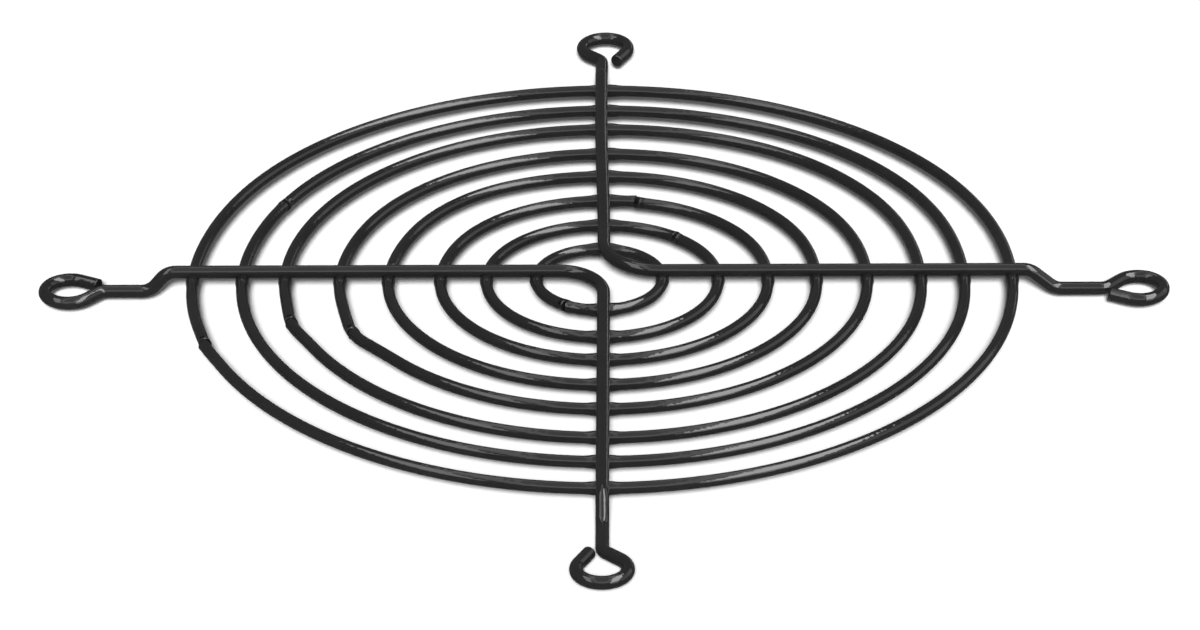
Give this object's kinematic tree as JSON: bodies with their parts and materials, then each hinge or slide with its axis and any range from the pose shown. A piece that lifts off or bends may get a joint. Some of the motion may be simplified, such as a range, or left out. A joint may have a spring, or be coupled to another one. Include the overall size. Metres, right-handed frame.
{
  "type": "wire fan guard",
  "caption": "Round black wire guard for an axial fan: concentric wire rings welded to two bent support wires with screw eyes.",
  "frame": {"origin": "centre of the guard, in the plane that its screw eyes bear on", "axes": "+Z out of the fan, from the screw eyes towards the support wires; +X and +Y along two of the four legs"},
  "size_m": [0.157, 0.157, 0.0048],
  "materials": {
    "black_coat": "gloss"
  },
  "bodies": {
    "root": {"ring_1": "black_coat", "ring_2": "black_coat", "ring_3": "black_coat", "ring_4": "black_coat", "ring_5": "black_coat", "ring_6": "black_coat", "ring_7": "black_coat", "ring_8": "black_coat", "support_wire_a": "black_coat", "support_wire_b": "black_coat"}
  },
  "joints": []
}
